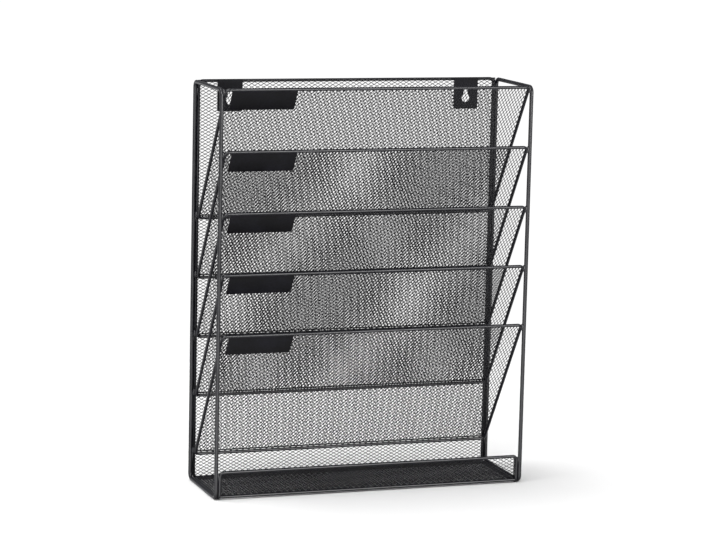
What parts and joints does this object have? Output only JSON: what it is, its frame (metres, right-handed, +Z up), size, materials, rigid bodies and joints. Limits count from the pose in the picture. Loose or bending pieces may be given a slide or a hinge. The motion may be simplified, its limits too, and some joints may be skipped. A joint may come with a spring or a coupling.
{
  "type": "wall magazine rack",
  "caption": "Welded wire and expanded-metal rack with slanted pockets one above the other, label plates, a lipped bottom tray and keyhole plates for hanging on a wall.",
  "frame": {"origin": "middle of the footprint, on the surface the rack stands on", "axes": "+X to the right seen from the front, +Y to the wall, +Z up"},
  "size_m": [0.325, 0.0986, 0.405],
  "materials": {
    "wire_coat": "semi-gloss black powder coat",
    "mesh_coat": "semi-gloss black powder coat",
    "plate_coat": "smooth semi-gloss black powder coat"
  },
  "bodies": {
    "root": {"left_side_frame": "wire_coat", "right_side_frame": "wire_coat", "back_frame": "wire_coat", "back_mesh": "mesh_coat", "left_hanger_plate": "plate_coat", "right_hanger_plate": "plate_coat", "pocket_1_frame": "wire_coat", "pocket_1_mesh": "mesh_coat", "pocket_1_label_plate": "plate_coat", "pocket_2_frame": "wire_coat", "pocket_2_mesh": "mesh_coat", "pocket_2_label_plate": "plate_coat", "pocket_3_frame": "wire_coat", "pocket_3_mesh": "mesh_coat", "pocket_3_label_plate": "plate_coat", "pocket_4_frame": "wire_coat", "pocket_4_mesh": "mesh_coat", "pocket_4_label_plate": "plate_coat", "pocket_5_frame": "wire_coat", "pocket_5_mesh": "mesh_coat", "pocket_5_label_plate": "plate_coat", "tray_frame": "wire_coat", "tray_floor_mesh": "mesh_coat", "tray_lip_mesh": "mesh_coat"}
  },
  "joints": []
}
